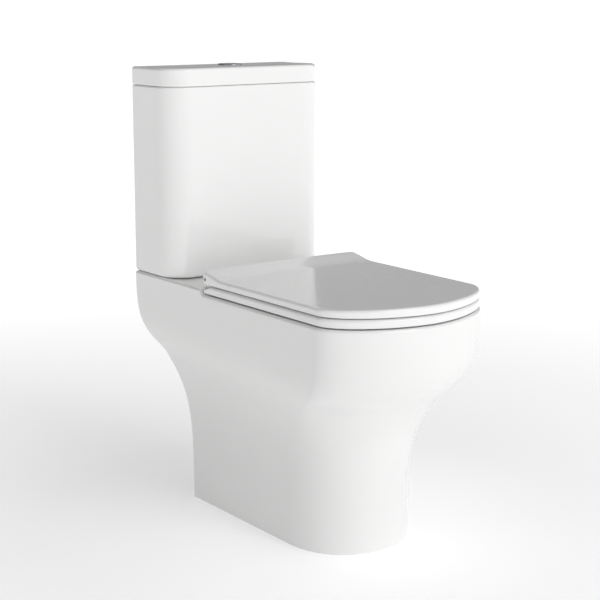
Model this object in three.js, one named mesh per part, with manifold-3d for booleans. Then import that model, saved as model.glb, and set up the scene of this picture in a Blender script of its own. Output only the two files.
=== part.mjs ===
// A close coupled toilet: an open-backed washdown pan, a cistern bolted to its deck, a
// dual-flush valve, a bottom-entry fill valve, and a seat and lid on two deck hinges.
// Millimetres, +Z up. The origin is on the floor, under the centre of the outline.
// The front faces -Y. Inside the group, y = 0 is the wall plane behind the cistern.

import * as THREE from "three";
import { mergeVertices } from "three/addons/utils/BufferGeometryUtils.js";
import Module from "manifold-3d";

const wasm = await Module();
wasm.setup();

// ---------- driving dimensions ----------
const gap = 0.3; // clearance between pieces that touch
const threadGap = 0.8; // clearance of a nut or washer round a threaded tail

const cisternWidth = 350;
const cisternDepth = 137;
const cisternHeight = 385; // deck to the top of the cistern lid
const cisternFrontRadius = 49;
const cisternRearRadius = 6;
const cisternWall = 9;
const cisternFloor = 14;
const cisternLidHeight = 34.5;
const cisternLidWall = 14;
const cisternLidPlate = 9;
const cisternLipDepth = 8; // how far the lid's locating lip reaches into the tank

const deckHeight = 435;
const rimDrop = 10; // the rim is this much lower than the deck
const rimFront = 663; // wall to the front of the rim
const rimShoulder = 560; // wall to where the rim starts to curve in
const rimHalf = 172;
const deckOverhang = 2; // deck beyond the cistern on each side
const deckFront = 222; // wall to the step between deck and rim
const footHalf = 115;
const footRear = 99;
const footShoulder = 408;
const footFront = 529;
const panWall = 12;
const rimThickness = 12;
const rimWidth = 40; // from the rim's outside to the bowl opening
const bowlRear = 284;
const bowlWall = 10;
const waterLevel = 143;
const outletHeight = 180;
const outletRadius = 51; // 102 mm spigot
const outletEnd = 30; // wall to the end of the spigot
const trapRadius = 37;
const trapWall = 10;
const inletRadius = 24;
const inletRecessDepth = 24;
const floorScrewSide = 80;
const floorScrewBack = 150;
const screwLugHeight = 28;

const seatLift = 2; // air between rim and seat ring
const seatThickness = 16;
const seatInset = 2; // seat outline inside the rim outline
const seatRear = 229;
const seatOpeningHalf = 108;
const seatOpeningRear = 300;
const seatOpeningFront = 597;
const lidLift = 1.5; // air between seat ring and lid
const lidEdge = 12.5; // height of the lid at its sides
const lidCrown = 2;
const lidHump = 9.7; // extra height over the hinges
const lidHumpLength = 62;
const lidRear = 227;
const lidShell = 4;
const lidRounding = 5; // drop of the lid's top edge
const hingeBack = 238; // wall to the hinge axis
const hingeBarrelRadius = 7;
const hingeClearance = 1.5; // between the hinge barrels and the inside of the lid
const hingePinRadius = 3.5;
const hingeSpacing = 155; // between the two seat bolts
const hingeWidth = 22;
const hingePlate = 3.7;
const seatBoltBack = 200;
const bufferRadius = 9;
const bufferRecess = 3; // how far a buffer sits into the ring's underside
const lidBufferRadius = 6;
const frontBufferInset = 103; // rim front to the front buffers

const buttonRadius = 16;
const buttonTravel = 6;
const buttonSplit = 3; // the full flush half is the larger one
const buttonClearance = 0.5;
const bezelWall = 2;
const bezelFlange = 2;
const bezelFlangeWidth = 4.5;
const rodRadius = 3;
const rodOffset = 9;

const valveOutletRadius = 30;
const valveTailWall = 7;
const valveNutWall = 13;
const valveNutRoom = 7; // between the backnut and the pan's recess
const valveCageWall = 4;
const valveCageHeight = 108;
const overflowRadius = 13;
const overflowHeight = 181;
const sealLift = 10.5;
const rockerHeight = 212; // rocker pivot above the tank floor
const rockerPinRadius = 2;
const rockerArm = 16.5; // pivot to push rod, front to back

const fillValveSide = 125; // left of the centre
const shankRadius = 10.5;
const shankBore = 6;
const shankNutRadius = 17;
const shankLength = 60; // below the cistern
const riserRadius = 10;
const fillHeadHeight = 45;
const fillHeadRadius = 22;
const fillHeadLevel = 190;
const floatRadius = 25;
const floatHeight = 50;
const floatTravel = 12;
const floatArmReach = 24;

const couplingSpacing = 156;
const boltRadius = 4;
const boltHole = 6;

// ---------- dimensions that follow ----------
const rimHeight = deckHeight - rimDrop;
const deckHalf = cisternWidth / 2 + deckOverhang;
const tankBase = deckHeight + gap;
const tankTop = deckHeight + cisternHeight - cisternLidHeight - gap;
const tankFloor = tankBase + cisternFloor;
const cisternLidBase = tankTop + gap;
const cisternTop = deckHeight + cisternHeight;
const cisternMiddle = -cisternDepth / 2;
const deckThickness = rimDrop + rimThickness;
const deckUnderside = deckHeight - deckThickness;
const seatBottom = rimHeight + seatLift;
const seatTop = seatBottom + seatThickness;
const lidBottom = seatTop + lidLift;
const seatNoseHalf = rimHalf - seatInset;
const seatRearHalf = deckHalf - seatInset - 3;
const bezelSleeveRadius = buttonRadius + buttonClearance + bezelWall;
const bezelRadius = bezelSleeveRadius + bezelFlangeWidth;
const valveBoreRadius = valveOutletRadius - valveTailWall;
const valveNutRadius = valveOutletRadius + valveNutWall;
const inletRecessRadius = valveNutRadius + valveNutRoom;
const valveCageRadius = valveOutletRadius + 3;
const valveFlangeRadius = valveCageRadius + 7;
const sealRadius = valveCageRadius - valveCageWall - 1.5;
const hingeHeight =
  lidTop(seatRearHalf, -hingeBack) - lidShell - hingeBarrelRadius - hingeClearance;

// ---------- materials ----------
const finish = (color, roughness, metalness) =>
  new THREE.MeshStandardMaterial({ color, roughness, metalness });
const glaze = finish(0xf3f3f1, 0.1, 0);
const seatPlastic = finish(0xf6f6f5, 0.18, 0);
const chrome = finish(0xc9ccd0, 0.12, 1);
const whitePlastic = finish(0xe6e7e6, 0.45, 0);
const bluePlastic = finish(0x3c78a8, 0.45, 0);
const greyPlastic = finish(0x8b8f92, 0.5, 0);
const rubber = finish(0x26272a, 0.8, 0);
const steel = finish(0xa9adb0, 0.35, 1);
const brass = finish(0xb8953f, 0.35, 1);

// ---------- solids ----------
// A solid is a closed manifold; every shape starts as a three.js geometry.
function solid(geometry) {
  const bare = geometry.clone();
  bare.deleteAttribute("normal");
  bare.deleteAttribute("uv");
  const merged = mergeVertices(bare, 1e-4);
  return new wasm.Manifold(
    new wasm.Mesh({
      numProp: 3,
      vertProperties: new Float32Array(merged.attributes.position.array),
      triVerts: new Uint32Array(merged.index.array),
    }),
  );
}

const sides = [-1, 1]; // left and right
const span = (a, b) => [Math.min(a, b), Math.max(a, b)];

const join = (first, ...rest) => rest.reduce((made, next) => made.add(next), first);
const cut = (first, ...rest) => rest.reduce((made, next) => made.subtract(next), first);

// Upright cylinder between two heights.
function drum(radius, from, to, x = 0, y = 0, sides = 20) {
  const shape = new THREE.CylinderGeometry(radius, radius, to - from, sides);
  shape.rotateX(Math.PI / 2);
  shape.translate(x, y, (from + to) / 2);
  return solid(shape);
}

// Cylinder along X between two sides.
function barrel(radius, from, to, y, z, sides = 16) {
  const shape = new THREE.CylinderGeometry(radius, radius, to - from, sides);
  shape.rotateZ(Math.PI / 2);
  shape.translate((from + to) / 2, y, z);
  return solid(shape);
}

// Cylinder along Y between two depths.
function crossBarrel(radius, from, to, x, z, sides = 12) {
  const shape = new THREE.CylinderGeometry(radius, radius, to - from, sides);
  shape.translate(x, (from + to) / 2, z);
  return solid(shape);
}

function block(x, y, z) {
  const shape = new THREE.BoxGeometry(x[1] - x[0], y[1] - y[0], z[1] - z[0]);
  shape.translate((x[0] + x[1]) / 2, (y[0] + y[1]) / 2, (z[0] + z[1]) / 2);
  return solid(shape);
}

// A profile of [radius, height] corners turned about the Z axis. A profile that doesn't
// start on the axis is closed on itself.
function turned(profile, sides = 24) {
  const points = profile.map(([r, z]) => new THREE.Vector2(r, z));
  if (THREE.ShapeUtils.area(points) < 0) points.reverse();
  if (profile[0][0] > 0) points.push(points[0].clone());
  const shape = new THREE.LatheGeometry(points, sides);
  shape.rotateX(Math.PI / 2);
  return solid(shape);
}

// A ring with square edges.
function ring(inner, outer, from, to, sides = 20) {
  return turned([[inner, from], [outer, from], [outer, to], [inner, to]], sides);
}

// Nut with flat sides and a round bore.
function nut(bore, radius, from, to, sides) {
  return cut(drum(radius, from, to, 0, 0, sides), drum(bore, from - 1, to + 1));
}

// Closed skin over rings of equal point counts, listed upwards, each anticlockwise.
function loft(rings) {
  const count = rings[0].length;
  const middle = (points) =>
    points.reduce((sum, p) => sum.add(p), new THREE.Vector3()).divideScalar(points.length);
  const points = [...rings.flat(), middle(rings[0]), middle(rings.at(-1))];
  const bottom = points.length - 2;
  const top = points.length - 1;
  const last = (rings.length - 1) * count;
  const faces = [];
  for (let i = 0; i < count; i++) {
    const next = (i + 1) % count;
    faces.push(bottom, next, i, top, last + i, last + next);
    for (let level = 0; level < last; level += count) {
      faces.push(level + i, level + next, level + count + next);
      faces.push(level + i, level + count + next, level + count + i);
    }
  }
  const shape = new THREE.BufferGeometry().setFromPoints(points);
  shape.setIndex(faces);
  return solid(shape);
}

// Tube or rod with a round section along a curve in the middle plane, given as [y, z].
function pipe(path, radius, steps, sides = 12) {
  const circle = new THREE.Shape().absarc(0, 0, radius, 0, 2 * Math.PI);
  const curve = new THREE.CatmullRomCurve3(path.map(([y, z]) => new THREE.Vector3(0, y, z)));
  return solid(
    new THREE.ExtrudeGeometry(circle, {
      steps,
      curveSegments: sides / 2,
      extrudePath: curve,
      bevelEnabled: false,
    }),
  );
}

function prism(outline, from, to) {
  const shape = new THREE.ExtrudeGeometry(new THREE.Shape(outline), {
    depth: to - from,
    bevelEnabled: false,
  });
  shape.translate(0, 0, from);
  return solid(shape);
}

// Hub with two upright wings, one to the front and one to the back.
function wingNut(from, to, bore) {
  const wing = (side) =>
    block([-1.5, 1.5], [side > 0 ? 5 : -15, side > 0 ? 15 : -5], [from, to]);
  return cut(join(drum(7, from, to, 0, 0, 16), wing(1), wing(-1)), drum(bore, from - 1, to + 1));
}

// ---------- outlines ----------
// D-shaped outline, anticlockwise from above: a straight back with small round corners,
// sides that may taper, and a nose that is half a superellipse.
function dOutline({ rearHalf, noseHalf, rear, shoulder, front, power, corner = 8 }, steps = 18) {
  const points = [];
  for (let i = 0; i <= 3; i++) {
    const turn = (i * Math.PI) / 6;
    const inset = corner * (1 - Math.cos(turn));
    points.push(new THREE.Vector2(rearHalf - inset, rear - corner + corner * Math.sin(turn)));
  }
  for (const p of [...points].reverse()) points.push(new THREE.Vector2(-p.x, p.y));
  for (let i = 0; i <= steps; i++) {
    const turn = (i * Math.PI) / steps;
    const across = Math.sign(Math.cos(turn)) * Math.abs(Math.cos(turn)) ** (2 / power);
    const forward = Math.sin(turn) ** (2 / power);
    points.push(new THREE.Vector2(-noseHalf * across, shoulder + (front - shoulder) * forward));
  }
  return points;
}

// Closed superellipse between a rear and a front, anticlockwise from above.
function oval(half, rear, front, power, steps = 24) {
  const points = [];
  for (let i = 0; i < steps; i++) {
    const turn = (2 * Math.PI * i) / steps;
    const bend = (value) => Math.sign(value) * Math.abs(value) ** (2 / power);
    const y = (rear + front) / 2 + ((rear - front) / 2) * bend(Math.sin(turn));
    points.push(new THREE.Vector2(half * bend(Math.cos(turn)), y));
  }
  return points;
}

const at = (outline, z) => outline.map((p) => new THREE.Vector3(p.x, p.y, z));

// The cistern's outline, drawn in by an inset: large front corners and small rear ones.
function cisternOutline(inset) {
  const side = cisternWidth / 2 - inset;
  const rear = -inset;
  const front = -cisternDepth + inset;
  const big = cisternFrontRadius - inset;
  const small = Math.max(cisternRearRadius - inset, 2);
  const quarter = Math.PI / 2;
  const path = new THREE.Path()
    .absarc(side - small, rear - small, small, 0, quarter)
    .absarc(small - side, rear - small, small, quarter, 2 * quarter)
    .absarc(big - side, front + big, big, 2 * quarter, 3 * quarter)
    .absarc(side - big, front + big, big, 3 * quarter, 4 * quarter);
  return path.getPoints(4).slice(0, -1);
}

// ---------- scene graph ----------
const toilet = new THREE.Group();
toilet.position.y = rimFront / 2;

function add(name, made, material, x = 0, y = 0, z = 0) {
  const built = made.getMesh();
  const geometry = new THREE.BufferGeometry();
  const positions = new Float32Array(built.vertProperties);
  geometry.setAttribute("position", new THREE.BufferAttribute(positions, 3));
  geometry.setIndex(new THREE.BufferAttribute(new Uint32Array(built.triVerts), 1));
  geometry.computeVertexNormals();
  const mesh = new THREE.Mesh(geometry, material);
  mesh.name = name;
  mesh.position.set(x, y, z);
  toilet.add(mesh);
}

// The same piece on the left and the right.
function addPair(name, made, material, x, y = 0, z = 0) {
  add(`${name}_left`, made, material, -x, y, z);
  add(`${name}_right`, made, material, x, y, z);
}

// ---------- pan ----------
// 0 at the foot and 1 from the rim up, with the steepest flare at one height.
function flare(height, middle, below, above) {
  const share = (z) => 1 / (1 + Math.exp((middle - z) / (z < middle ? below : above)));
  return Math.min(share(height) / share(rimHeight), 1);
}

const mix = (low, high, share) => low + (high - low) * share;

// The pan's outline at a height, drawn in by a wall and opened at the back by a reach.
function panOutline(z, wall = 0, reach = 0) {
  const back = flare(z, deckHeight - 147, 44, 24);
  const nose = flare(z, deckHeight - 167, 39, 25);
  return dOutline({
    rearHalf: mix(footHalf, deckHalf, back) - wall,
    noseHalf: mix(footHalf, rimHalf, nose) - wall,
    rear: reach || -mix(footRear, 0, back),
    shoulder: -mix(footShoulder, rimShoulder, nose),
    front: wall - mix(footFront, rimFront, nose),
    power: mix(2.2, 1.75, nose),
  });
}

// Inside of the bowl: the opening, the slope, the water area and the sump.
function bowlRings(wall, bottom, top) {
  const openHalf = rimHalf - rimWidth - 4;
  const openFront = rimFront - rimWidth;
  const sections = [
    [bottom, 30, bowlRear + 28, 375],
    [waterLevel - 53, 40, bowlRear + 16, 392],
    [waterLevel, 50, bowlRear + 10, 430],
    [rimHeight - 225.6, 70, bowlRear + 6, 485],
    [rimHeight - 166.4, 95, bowlRear + 2, 545],
    [rimHeight - 95.9, openHalf - 10, bowlRear, openFront - 24],
    [rimHeight - 31, openHalf, bowlRear, openFront],
    [top, openHalf, bowlRear, openFront],
  ];
  return sections.map(([z, half, rear, front]) =>
    at(oval(half + wall, wall - rear, -front - wall, 2.3), z),
  );
}

// The slip-cast pan is made of four castings stuck together: the outside with its rim and
// deck, the bowl, the trapway with its spigot, and the flush inlet.
const below = (drop) => deckHeight - drop;
const recessFloor = deckHeight - inletRecessDepth;
const castingBottom = recessFloor - 31;
const bowlSpace = loft(bowlRings(0, 62, rimHeight + 5));
const recess = drum(inletRecessRadius, recessFloor, deckHeight + 1, 0, cisternMiddle);
const underDeck = block([-deckHalf, deckHalf], [-rimFront, 0], [-1, deckUnderside - gap]);

function makePan() {
  const outerLevels = [305, 260, 225, 197, 175, 155, 135, 113, 85, 45];
  const innerLevels = [285, 220, 180, 145, 105];
  const outer = loft([0, ...outerLevels.map(below), rimHeight, deckHeight].map((z) =>
    at(panOutline(z), z)));
  const hollow = loft([-1, ...innerLevels.map(below), deckUnderside].map((z) =>
    at(panOutline(z, panWall, 5), z)));
  const aboveRim = prism(
    [
      new THREE.Vector2(-rimFront - 5, rimHeight),
      new THREE.Vector2(-deckFront - rimDrop, rimHeight),
      new THREE.Vector2(-deckFront, deckHeight + 1),
      new THREE.Vector2(-rimFront - 5, deckHeight + 1),
    ],
    -deckHalf - 5,
    deckHalf + 5,
  ).rotate([90, 0, 90]);
  const lugs = sides.map((side) =>
    block(span(side * (floorScrewSide - 18), side * (footHalf - 4)),
      [-floorScrewBack - 22, 22 - floorScrewBack], [0, screwLugHeight]));
  const top = deckHeight + 1;
  const holes = sides.flatMap((side) => [
    drum(5, -1, screwLugHeight + 12, side * floorScrewSide, -floorScrewBack, 16),
    drum(boltHole, castingBottom, top, (side * couplingSpacing) / 2, cisternMiddle, 16),
    drum(boltHole, castingBottom, top, (side * hingeSpacing) / 2, -seatBoltBack, 16),
  ]);
  const nutHole = drum(shankNutRadius + 6, castingBottom, top, -fillValveSide, cisternMiddle);
  return cut(join(cut(outer, hollow), ...lugs), aboveRim, bowlSpace, recess, nutHole, ...holes);
}

const trapBend = [
  [-350, 100],
  [-338, 70],
  [-305, 56],
  [-268, 66],
  [-243, 105],
  [-226, outletHeight - 32],
  [-196, outletHeight - 3],
  [-150, outletHeight],
];
const trapBore = pipe([...trapBend, [10 - outletEnd, outletHeight]], trapRadius, 18);

function makeBowl() {
  const body = loft(bowlRings(bowlWall, 50, deckUnderside - gap));
  return cut(body, bowlSpace, trapBore);
}

// What stands outside the bowl is left of a pipe or case that runs into it.
const aroundBowl = loft(bowlRings(bowlWall + gap, 50 - gap, deckUnderside + 4));

function makeTrapway() {
  const bend = pipe([...trapBend, [-outletEnd, outletHeight]], trapRadius + trapWall, 18);
  const spigot = crossBarrel(outletRadius, -outletEnd - 110, -outletEnd, 0, outletHeight, 24);
  return cut(join(bend, spigot), aroundBowl, trapBore);
}

function makeInlet() {
  const path = [
    [cisternMiddle, recessFloor + 3],
    [cisternMiddle - 4, recessFloor - 19],
    [cisternMiddle - 42, recessFloor - 35],
    [-200, recessFloor - 35],
    [-bowlRear - 16, recessFloor - 23],
  ];
  const channel = pipe(path, inletRadius + bowlWall, 9);
  const cup = drum(inletRecessRadius + bowlWall, castingBottom, deckUnderside, 0, cisternMiddle);
  return cut(join(channel, cup).intersect(underDeck), aroundBowl, pipe(path, inletRadius, 9), recess);
}

add("pan", makePan(), glaze);
add("pan_bowl", makeBowl(), glaze);
add("pan_trapway", makeTrapway(), glaze);
add("pan_inlet", makeInlet(), glaze);
const floorScrew = join(
  drum(7, screwLugHeight + gap, screwLugHeight + 5, 0, 0, 6),
  drum(4, 0.5, screwLugHeight + 2 * gap, 0, 0, 12));
addPair("floor_screw", floorScrew, steel, floorScrewSide, -floorScrewBack);

// ---------- cistern ----------
function makeTank() {
  const walls = prism(cisternOutline(0), tankBase, tankTop);
  const space = prism(cisternOutline(cisternWall), tankFloor, tankTop + 1);
  const below = tankBase - 1;
  const above = tankFloor + 1;
  return cut(walls, space,
    drum(valveOutletRadius + 1, below, above, 0, cisternMiddle),
    drum(shankRadius + 1, below, above, -fillValveSide, cisternMiddle, 20),
    drum(boltHole, below, above, -couplingSpacing / 2, cisternMiddle, 16),
    drum(boltHole, below, above, couplingSpacing / 2, cisternMiddle, 16));
}

function makeCisternLid() {
  const underside = cisternTop - cisternLidPlate;
  const lipFace = cisternWall + 1.5;
  const lip = cut(
    prism(cisternOutline(lipFace), cisternLidBase - cisternLipDepth, cisternLidBase + 2),
    prism(cisternOutline(lipFace + 5.5), cisternLidBase - cisternLipDepth - 1, cisternLidBase + 3));
  const shell = cut(
    prism(cisternOutline(0), cisternLidBase, cisternTop),
    prism(cisternOutline(cisternLidWall), cisternLidBase - 1, underside));
  const hole = drum(bezelSleeveRadius + 0.5, underside - 1, cisternTop + 1, 0, cisternMiddle);
  return cut(join(shell, lip), hole);
}

add("cistern_tank", makeTank(), glaze);
add("cistern_lid", makeCisternLid(), glaze);

// Hex-headed bolts through tank and deck, sealed inside and drawn up by wing nuts below.
const couplingBolt = join(
  drum(7, tankFloor + 2 + 2 * gap, tankFloor + 8, 0, 0, 6),
  drum(boltRadius, deckUnderside - 26, tankFloor + 3, 0, 0, 16));
addPair("coupling_bolt", couplingBolt, brass, couplingSpacing / 2, cisternMiddle);
addPair("coupling_seal", ring(boltRadius + gap, 12, tankFloor + gap, tankFloor + 2 + gap),
  rubber, couplingSpacing / 2, cisternMiddle);
addPair("coupling_plate_washer",
  ring(boltRadius + gap, 12, deckUnderside - 2 - gap, deckUnderside - gap),
  steel, couplingSpacing / 2, cisternMiddle);
addPair("coupling_wing_nut",
  wingNut(deckUnderside - 13, deckUnderside - 2 - 2 * gap, boltRadius + gap),
  brass, couplingSpacing / 2, cisternMiddle);

// ---------- push button ----------
// One half of the round button, on the side that faces -X or +X.
function buttonHalf(side) {
  const edge = span(buttonSplit + side * 0.5, side * (buttonRadius + 1));
  const top = cisternTop + bezelFlange;
  const half = block(edge, [-buttonRadius - 1, buttonRadius + 1], [top - 9, top + 1]);
  return drum(buttonRadius, top - 8, top).intersect(half);
}

// Rod from under a button half to just above its rocker.
function pushRod() {
  const top = cisternTop + bezelFlange - 8 - gap;
  return drum(rodRadius, tankFloor + rockerHeight + 2.5, top, 0, 0, 16);
}

const sleeve = [
  [buttonRadius + buttonClearance, cisternTop - 28],
  [bezelSleeveRadius, cisternTop - 28],
  [bezelSleeveRadius, cisternTop + gap],
  [bezelRadius, cisternTop + gap],
  [bezelRadius - 1, cisternTop + bezelFlange],
  [buttonRadius + buttonClearance, cisternTop + bezelFlange],
];
add("button_bezel", turned(sleeve), chrome, 0, cisternMiddle);
const lidUnderside = cisternTop - cisternLidPlate;
add("button_locknut",
  ring(bezelSleeveRadius + gap, bezelRadius + 2, lidUnderside - 8, lidUnderside - gap, 24),
  greyPlastic, 0, cisternMiddle);
add("full_flush_button", buttonHalf(-1), chrome, 0, cisternMiddle);
add("half_flush_button", buttonHalf(1), chrome, 0, cisternMiddle);
add("full_flush_rod", pushRod(), whitePlastic, -rodOffset, cisternMiddle);
add("half_flush_rod", pushRod(), whitePlastic, rodOffset, cisternMiddle);

// ---------- flush valve ----------
// Local heights: 0 is the tank floor.
const washerTop = 2.7;
const valveSeat = 8;
const cageTop = valveSeat + valveCageHeight;
const pinBack = rockerArm; // rocker pin behind the valve's axis
const overflowTop = overflowHeight + valveSeat;

function makeValveBody() {
  const tail = -cisternFloor - inletRecessDepth + 3;
  const shell = turned([
    [valveBoreRadius, tail],
    [valveOutletRadius, tail],
    [valveOutletRadius, washerTop + gap],
    [valveFlangeRadius, washerTop + gap],
    [valveFlangeRadius, valveSeat],
    [valveCageRadius, valveSeat],
    [valveCageRadius, cageTop],
    [overflowRadius + 0.6, cageTop],
    [overflowRadius + 0.6, cageTop - valveCageWall],
    [valveCageRadius - valveCageWall, cageTop - valveCageWall],
    [valveCageRadius - valveCageWall, valveSeat],
    [valveBoreRadius, valveSeat],
  ]);
  const windowRow = [valveSeat + 4, valveSeat + 30];
  const windows = [
    block([-11, 11], [-50, 50], windowRow),
    block([-50, 50], [-11, 11], windowRow),
  ];
  const columns = sides.map((side) =>
    block(span(side * 22.5, side * 29), [2, pinBack + 3.5], [cageTop - 2, rockerHeight + 6]));
  const pinHole = barrel(rockerPinRadius + gap, -40, 40, pinBack, rockerHeight, 16);
  const upright = columns.map((column) => cut(column, pinHole));
  return join(cut(shell, ...windows), ...upright);
}

// Overflow tube with the seal's flange below and, above, a yoke whose finger the full
// flush rocker lifts.
function makeValveStem() {
  const flange = valveSeat + 4;
  const tube = turned([
    [overflowRadius - 2.5, valveSeat + gap],
    [overflowRadius, valveSeat + gap],
    [overflowRadius, flange],
    [sealRadius - 0.5, flange],
    [sealRadius - 0.5, flange + 4],
    [overflowRadius, flange + 4],
    [overflowRadius, overflowTop],
    [overflowRadius - 2.5, overflowTop],
  ]);
  const back = pinBack + 25;
  const finger = rockerHeight + 2.5;
  const yoke = join(
    block([-13, -3], [overflowRadius - 2, back + 3], [overflowTop - 5, overflowTop - 1]),
    block([-13, -3], [back, back + 3], [overflowTop - 5, finger + 3]),
    block([-13, -3], [pinBack + 11, back + 3], [finger, finger + 3]));
  return join(tube, yoke);
}

// Rocker on the cross pin: its pad is under the push rod and its tail reaches back.
function makeRocker(tail) {
  const arm = block([-5, 5], [-6, pinBack + tail], [rockerHeight - 2.5, rockerHeight + 2]);
  const hub = barrel(rockerPinRadius + 3, -5, 5, pinBack, rockerHeight, 20);
  return cut(join(arm, hub), barrel(rockerPinRadius + gap, -6, 6, pinBack, rockerHeight, 16));
}

const flushValve = [0, cisternMiddle, tankFloor];
add("flush_valve_body", makeValveBody(), whitePlastic, ...flushValve);
add("flush_valve_stem", makeValveStem(), bluePlastic, ...flushValve);
add("flush_valve_seal",
  ring(overflowRadius + gap, sealRadius, valveSeat + gap, valveSeat + 4 - gap), rubber,
  ...flushValve);
const tailBore = valveOutletRadius + threadGap;
const nutBase = -cisternFloor - 12;
const recessBase = -cisternFloor - inletRecessDepth;
add("flush_valve_washer",
  ring(tailBore, valveFlangeRadius - 1, gap, washerTop), rubber, ...flushValve);
add("flush_valve_backnut",
  nut(tailBore, valveNutRadius, nutBase, -cisternFloor - gap, 12), greyPlastic, ...flushValve);
add("doughnut_washer",
  ring(tailBore, inletRecessRadius - 2, recessBase, nutBase - gap), rubber, ...flushValve);
add("full_flush_rocker", makeRocker(23), bluePlastic, -rodOffset, cisternMiddle, tankFloor);
add("half_flush_rocker", makeRocker(8), greyPlastic, rodOffset, cisternMiddle, tankFloor);
add("rocker_pin", barrel(rockerPinRadius, -31, 31, pinBack, rockerHeight, 16), steel, ...flushValve);

// ---------- fill valve ----------
const headTop = fillHeadLevel + fillHeadHeight;
const armPivotX = fillHeadRadius + 4;
const armPivotZ = fillHeadLevel + 28;
const floatBase = fillHeadLevel - 30 - floatHeight;
const linkX = armPivotX + floatArmReach;

function makeFillBody() {
  const housing = turned([
    [shankBore, -cisternFloor - shankLength],
    [shankRadius, -cisternFloor - shankLength],
    [shankRadius, 2.5 + gap],
    [17, 2.5 + gap],
    [17, 7],
    [riserRadius, 7],
    [riserRadius, fillHeadLevel],
    [fillHeadRadius, fillHeadLevel],
    [fillHeadRadius, headTop - 3],
    [fillHeadRadius - 3, headTop],
    [0, headTop],
    [0, headTop - 8],
    [shankBore, headTop - 8],
  ]);
  const ears = sides.map((side) =>
    block([fillHeadRadius - 6, armPivotX + 4], span(side * 5.5, side * 8),
      [armPivotZ - 4, armPivotZ + 4]));
  return cut(join(housing, ...ears), crossBarrel(1.5 + gap, -10, 10, armPivotX, armPivotZ, 12));
}

function makeFloat() {
  const cup = ring(riserRadius + 1, floatRadius, floatBase, floatBase + floatHeight);
  const lug = block([floatRadius - 6, linkX + 4], [-4, 4], [floatBase + 40, floatBase + 44]);
  return join(cup, lug);
}

function makeFloatArm() {
  const arm = block([armPivotX, linkX + 4], [-5, 5], [armPivotZ - 2, armPivotZ + 2]);
  const hub = crossBarrel(4, -5, 5, armPivotX, armPivotZ, 16);
  return cut(join(arm, hub), crossBarrel(1.5 + gap, -10, 10, armPivotX, armPivotZ, 12));
}

const fillValve = [-fillValveSide, cisternMiddle, tankFloor];
add("fill_valve_body", makeFillBody(), whitePlastic, ...fillValve);
add("fill_valve_washer", ring(shankRadius + gap, 16, gap, 2.5), rubber, ...fillValve);
add("fill_valve_backnut",
  nut(shankRadius + threadGap, shankNutRadius, -cisternFloor - 11, -cisternFloor - gap, 6),
  greyPlastic, ...fillValve);
add("fill_valve_float", makeFloat(), bluePlastic, ...fillValve);
add("float_link", drum(2, floatBase + 44 + gap, armPivotZ - 2.5, linkX, 0, 12), steel, ...fillValve);
add("float_arm", makeFloatArm(), greyPlastic, ...fillValve);
add("float_arm_pin", crossBarrel(1.5, -10, 10, armPivotX, armPivotZ, 12), steel, ...fillValve);

// ---------- hinges ----------
// Each hinge has a base on the deck, a pin, the ring's lug on its inner side and the
// lid's lug on its outer side.
const hingeX = hingeSpacing / 2;
const baseFrom = -hingeWidth / 2;
const baseTo = hingeWidth / 2;
const plateTop = deckHeight + gap + hingePlate;
const lugWidth = 18;

function makeHingeBase() {
  const base = deckHeight + gap;
  const disc = drum(19, base, plateTop, 0, -seatBoltBack);
  const plate = block([baseFrom, baseTo], [-hingeBack - 6, -seatBoltBack], [base, plateTop]);
  const post = block([baseFrom, baseTo], [-hingeBack - 6, -hingeBack + 6], [base, hingeHeight]);
  const knuckle = barrel(hingeBarrelRadius, baseFrom, baseTo, -hingeBack, hingeHeight);
  return cut(join(disc, plate, post, knuckle),
    barrel(hingePinRadius + gap, -20, 20, -hingeBack, hingeHeight),
    drum(boltRadius + gap, deckHeight - 1, plateTop + 1, 0, -seatBoltBack, 16));
}

const pinReach = hingeWidth / 2 + lugWidth;
addPair("hinge_base", makeHingeBase(), chrome, hingeX);
addPair("hinge_pin",
  barrel(hingePinRadius, -pinReach, pinReach, -hingeBack, hingeHeight), steel, hingeX);
addPair("seat_bolt",
  join(drum(7, plateTop + gap, plateTop + 3, 0, 0, 24),
    drum(boltRadius, deckUnderside - 26, plateTop + 1, 0, 0, 16)),
  steel, hingeX, -seatBoltBack);
addPair("seat_bolt_washer",
  ring(boltRadius + gap, 13, deckUnderside - 3 - gap, deckUnderside - gap),
  rubber, hingeX, -seatBoltBack);
addPair("seat_wing_nut",
  wingNut(deckUnderside - 14, deckUnderside - 3 - 2 * gap, boltRadius + gap),
  whitePlastic, hingeX, -seatBoltBack);

// ---------- seat ring ----------
const seatShape = {
  rearHalf: seatRearHalf,
  noseHalf: seatNoseHalf,
  rear: -seatRear,
  shoulder: -rimShoulder,
  front: seatInset - rimFront,
  power: 1.75,
};

function insetShape(shape, inset) {
  return {
    ...shape,
    rearHalf: shape.rearHalf - inset,
    noseHalf: shape.noseHalf - inset,
    rear: shape.rear - inset,
    front: shape.front + inset,
  };
}

// Each pair of buffers is placed by its distance from the middle and from the wall.
const seatBuffers = [
  [128, 340],
  [112, rimFront - frontBufferInset],
];
const lidBuffers = [
  [134, 330],
  [118, rimFront - frontBufferInset - 5],
];

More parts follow.
